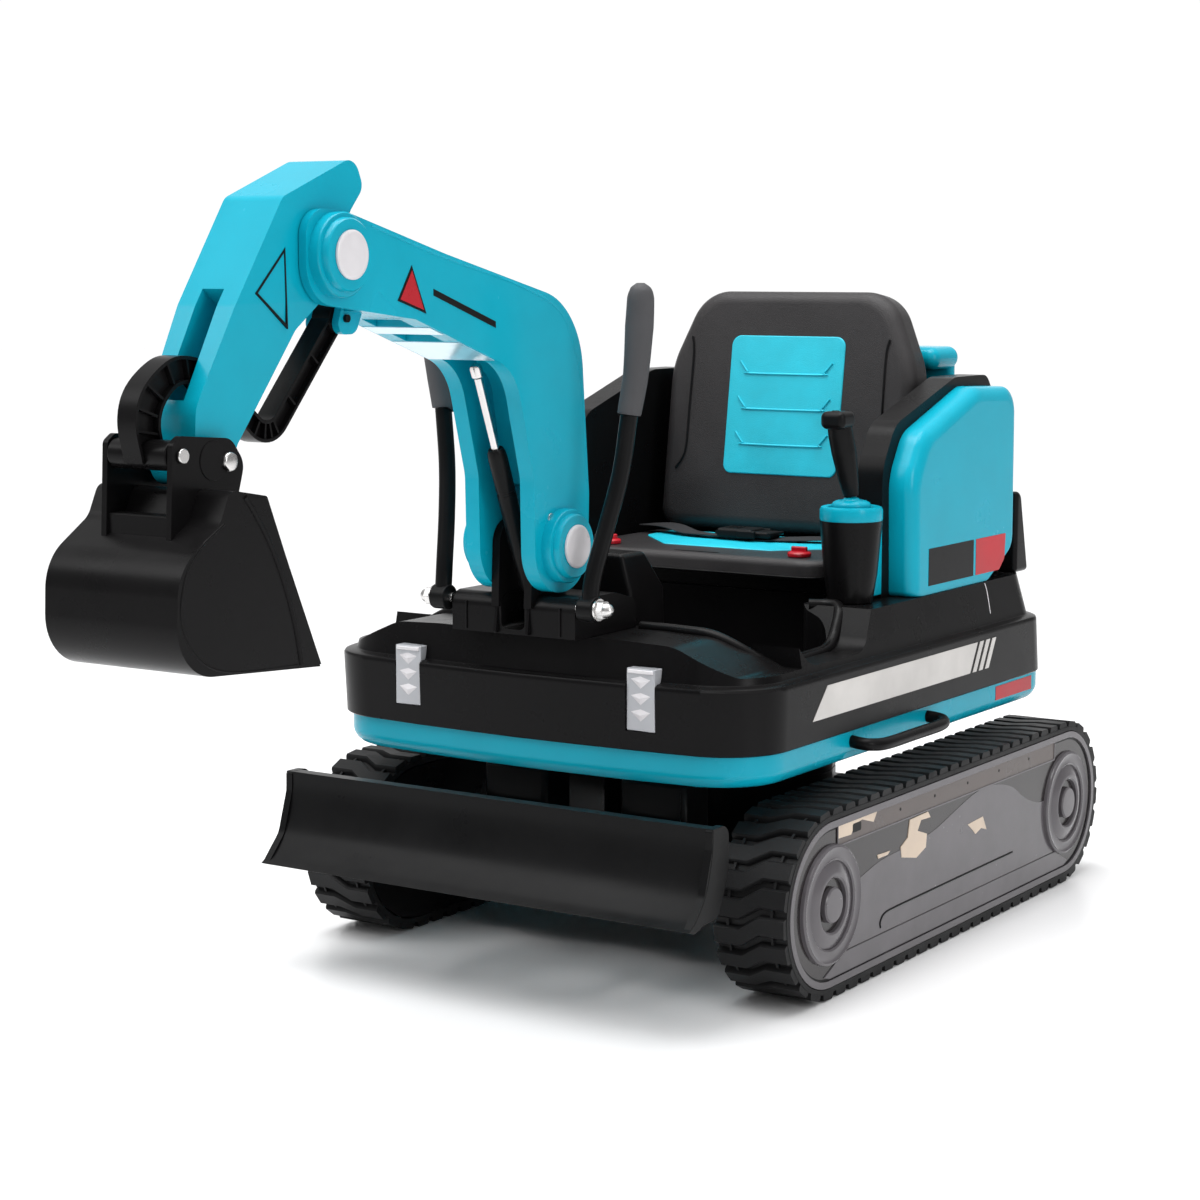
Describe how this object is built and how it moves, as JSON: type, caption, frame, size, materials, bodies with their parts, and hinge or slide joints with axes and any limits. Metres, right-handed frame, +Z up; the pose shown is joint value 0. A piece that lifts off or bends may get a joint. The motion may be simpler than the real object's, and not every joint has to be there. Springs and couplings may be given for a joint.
{
  "type": "ride-on toy digger",
  "caption": "Child's ride-on digger: tracked base with blade, slewing body with padded seat, levers and joysticks, and a jointed arm with bucket.",
  "frame": {"origin": "centre of the machine's box on the floor", "axes": "+Z up, -Y the way the machine faces, +X to the rider's left"},
  "size_m": [0.592, 1.351, 0.8028],
  "materials": {
    "turquoise": "glossy moulded",
    "black_body": "satin moulded",
    "dark_parts": "satin",
    "chassis": "satin black",
    "rubber_belt": "matt moulded lugs",
    "grip": "soft touch",
    "cover": "smoky grey with printed patches",
    "seat": "soft dark leather look",
    "strap": "woven webbing",
    "steel": "plated",
    "cap": "pale grey",
    "knob": "red",
    "lens": "clear lens over a bright reflector"
  },
  "bodies": {
    "undercarriage": {"chassis_frame": "chassis", "slew_ring": "chassis", "track_frame_left": "black_body", "track_frame_right": "black_body", "track_belt_left": "rubber_belt", "track_belt_right": "rubber_belt", "track_cover_left": "cover", "track_cover_right": "cover", "drive_motor_left": "dark_parts", "drive_motor_right": "dark_parts"},
    "idler_left": {"idler_left": "dark_parts"},
    "idler_right": {"idler_right": "dark_parts"},
    "sprocket_left": {"sprocket_left": "dark_parts"},
    "sprocket_right": {"sprocket_right": "dark_parts"},
    "blade": {"blade": "chassis", "blade_arm": "chassis"},
    "upper": {"base_pan": "turquoise", "body_shell": "black_body", "seat_surround": "black_body", "side_hood_left": "turquoise", "side_hood_right": "turquoise", "rear_cover": "black_body", "rear_hood": "turquoise", "seat_base": "seat", "seat_back": "seat", "lap_strap": "strap", "belt_buckle": "dark_parts", "console_left": "black_body", "console_right": "black_body", "lever_pin_left": "steel", "lever_pin_right": "steel", "headlight_left": "lens", "headlight_right": "lens", "dash_panel": "black_body", "battery": "dark_parts", "step_handle_left": "black_body", "step_handle_right": "black_body", "boom_bracket": "black_body"},
    "seat_knob_left": {"seat_knob_left": "knob"},
    "seat_knob_right": {"seat_knob_right": "knob"},
    "joystick_gimbal_left": {"joystick_collar_left": "turquoise"},
    "joystick_gimbal_right": {"joystick_collar_right": "turquoise"},
    "joystick_left": {"joystick_left": "dark_parts"},
    "joystick_right": {"joystick_right": "dark_parts"},
    "lever_left": {"lever_left": "black_body", "lever_grip_left": "grip"},
    "lever_right": {"lever_right": "black_body", "lever_grip_right": "grip"},
    "boom": {"boom": "turquoise", "boom_cap_left": "cap", "boom_cap_right": "cap", "dipper_pin": "cap"},
    "dipper": {"dipper": "turquoise"},
    "bucket": {"bucket": "black_body", "bucket_bracket": "black_body", "bucket_pin": "steel"},
    "arch_link": {"arch_link": "black_body"},
    "rear_link": {"rear_link": "black_body"},
    "strut_cylinder": {"strut_cylinder": "black_body"},
    "strut_rod": {"strut_rod": "steel"}
  },
  "joints": [
    {"name": "slew", "type": "hinge", "parent": "undercarriage", "child": "upper", "pos_m": [0, 0.28554, 0.185], "axis": [0, 0, 1], "continuous": true},
    {"name": "blade_lift", "type": "hinge", "parent": "undercarriage", "child": "blade", "pos_m": [0, -0.01246, 0.12], "axis": [1, 0, 0], "range_deg": [-12, 22]},
    {"name": "boom_lift", "type": "hinge", "parent": "upper", "child": "boom", "pos_m": [0, -0.08946, 0.441], "axis": [1, 0, 0], "range_deg": [-12, 32]},
    {"name": "dipper_swing", "type": "hinge", "parent": "boom", "child": "dipper", "pos_m": [0, -0.43446, 0.722], "axis": [1, 0, 0], "range_deg": [-20, 4]},
    {"name": "bucket_curl", "type": "hinge", "parent": "dipper", "child": "bucket", "pos_m": [0, -0.57346, 0.554], "axis": [1, 0, 0], "range_deg": [-33.2, 6.9]},
    {"name": "arch_link_turn", "type": "hinge", "parent": "bucket", "child": "arch_link", "pos_m": [0, -0.62946, 0.562], "axis": [1, 0, 0], "range_deg": [-5.4, 25.7]},
    {"name": "rear_link_turn", "type": "hinge", "parent": "boom", "child": "rear_link", "pos_m": [0, -0.39446, 0.667], "axis": [1, 0, 0], "range_deg": [-21, 4.5]},
    {"name": "strut_turn", "type": "hinge", "parent": "upper", "child": "strut_cylinder", "pos_m": [0, -0.07846, 0.374], "axis": [1, 0, 0], "range_deg": [-9.4, 24.6]},
    {"name": "strut_slide", "type": "slide", "parent": "strut_cylinder", "child": "strut_rod", "axis": [0, -0.3727, 0.928], "range_m": [-0.0142, 0.0056]},
    {"name": "idler_left_spin", "type": "hinge", "parent": "undercarriage", "child": "idler_left", "pos_m": [0.25, 0.00554, 0.095], "axis": [1, 0, 0], "continuous": true},
    {"name": "sprocket_left_spin", "type": "hinge", "parent": "undercarriage", "child": "sprocket_left", "pos_m": [0.25, 0.58054, 0.095], "axis": [1, 0, 0], "continuous": true},
    {"name": "lever_left_swing", "type": "hinge", "parent": "upper", "child": "lever_left", "pos_m": [0.088, -0.11246, 0.384], "axis": [1, 0, 0], "range_deg": [-14, 10], "stiffness_Nm_per_rad": 6},
    {"name": "joystick_left_pitch", "type": "hinge", "parent": "upper", "child": "joystick_gimbal_left", "pos_m": [0.1985, 0.21554, 0.462], "axis": [1, 0, 0], "range_deg": [-14, 14], "stiffness_Nm_per_rad": 1.5},
    {"name": "joystick_left_roll", "type": "hinge", "parent": "joystick_gimbal_left", "child": "joystick_left", "pos_m": [0.1985, 0.21554, 0.462], "axis": [0, 1, 0], "range_deg": [-14, 14], "stiffness_Nm_per_rad": 1.5},
    {"name": "seat_knob_left_turn", "type": "hinge", "parent": "upper", "child": "seat_knob_left", "pos_m": [0.121, 0.24554, 0.4034], "axis": [0, 0, 1], "range_deg": [0, 90]},
    {"name": "idler_right_spin", "type": "hinge", "parent": "undercarriage", "child": "idler_right", "pos_m": [-0.25, 0.00554, 0.095], "axis": [1, 0, 0], "continuous": true},
    {"name": "sprocket_right_spin", "type": "hinge", "parent": "undercarriage", "child": "sprocket_right", "pos_m": [-0.25, 0.58054, 0.095], "axis": [1, 0, 0], "continuous": true},
    {"name": "lever_right_swing", "type": "hinge", "parent": "upper", "child": "lever_right", "pos_m": [-0.088, -0.11246, 0.384], "axis": [1, 0, 0], "range_deg": [-14, 10], "stiffness_Nm_per_rad": 6},
    {"name": "joystick_right_pitch", "type": "hinge", "parent": "upper", "child": "joystick_gimbal_right", "pos_m": [-0.1985, 0.21554, 0.462], "axis": [1, 0, 0], "range_deg": [-14, 14], "stiffness_Nm_per_rad": 1.5},
    {"name": "joystick_right_roll", "type": "hinge", "parent": "joystick_gimbal_right", "child": "joystick_right", "pos_m": [-0.1985, 0.21554, 0.462], "axis": [0, 1, 0], "range_deg": [-14, 14], "stiffness_Nm_per_rad": 1.5},
    {"name": "seat_knob_right_turn", "type": "hinge", "parent": "upper", "child": "seat_knob_right", "pos_m": [-0.121, 0.24554, 0.4034], "axis": [0, 0, 1], "range_deg": [-90, 0]}
  ],
  "couplings": [
    {"joint": "bucket_curl", "follows": "dipper_swing", "ratio": 1.642},
    {"joint": "arch_link_turn", "follows": "dipper_swing", "ratio": -1.267},
    {"joint": "rear_link_turn", "follows": "dipper_swing", "ratio": 1.034},
    {"joint": "strut_turn", "follows": "boom_lift", "ratio": 0.757},
    {"joint": "strut_slide", "follows": "boom_lift", "m_per_rad": -0.0245},
    {"joint": "idler_left_spin", "follows": "sprocket_left_spin", "ratio": 1},
    {"joint": "idler_right_spin", "follows": "sprocket_right_spin", "ratio": 1}
  ]
}
